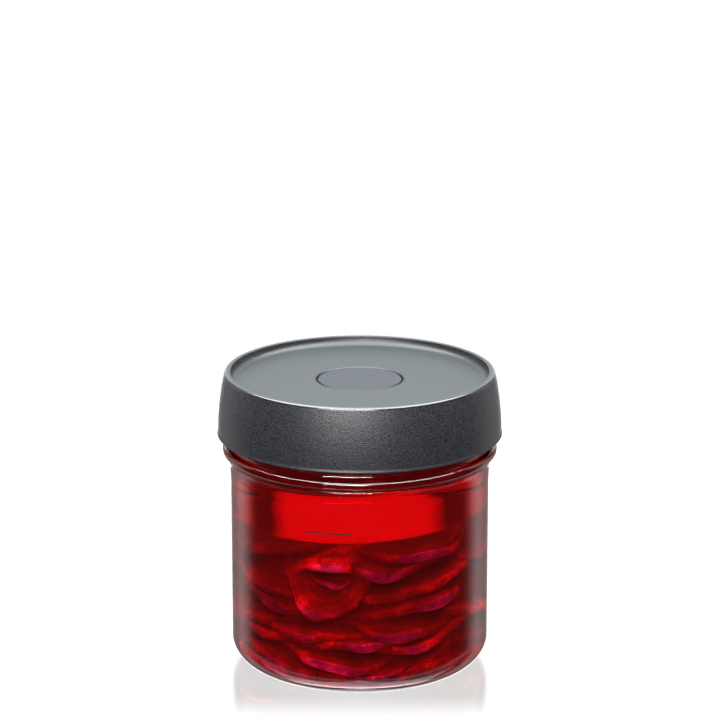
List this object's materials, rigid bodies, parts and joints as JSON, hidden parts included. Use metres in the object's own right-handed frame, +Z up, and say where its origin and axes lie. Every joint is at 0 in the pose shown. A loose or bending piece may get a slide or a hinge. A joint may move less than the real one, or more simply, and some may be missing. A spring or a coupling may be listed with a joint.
{
  "type": "fermentation jar",
  "caption": "Round clear glass jar with a grey valve lid, filled with sliced beetroot in brine under a glass weight.",
  "frame": {"origin": "centre of the base, where the jar stands", "axes": "+Z up along the jar's axis, -Y towards the front that the picture shows, +X to its right"},
  "size_m": [0.116, 0.116, 0.1225],
  "materials": {
    "jar_glass": "clear, smooth",
    "lid_plastic": "grey, fine moulded grain",
    "button_silicone": "grey, fine matte",
    "weight_glass": "clear, smooth",
    "beetroot": "wet, dark red"
  },
  "bodies": {
    "root": {"glass_jar": "jar_glass", "lid": "lid_plastic", "valve_button": "button_silicone", "glass_weight": "weight_glass", "beet_slices": "beetroot"}
  },
  "joints": []
}
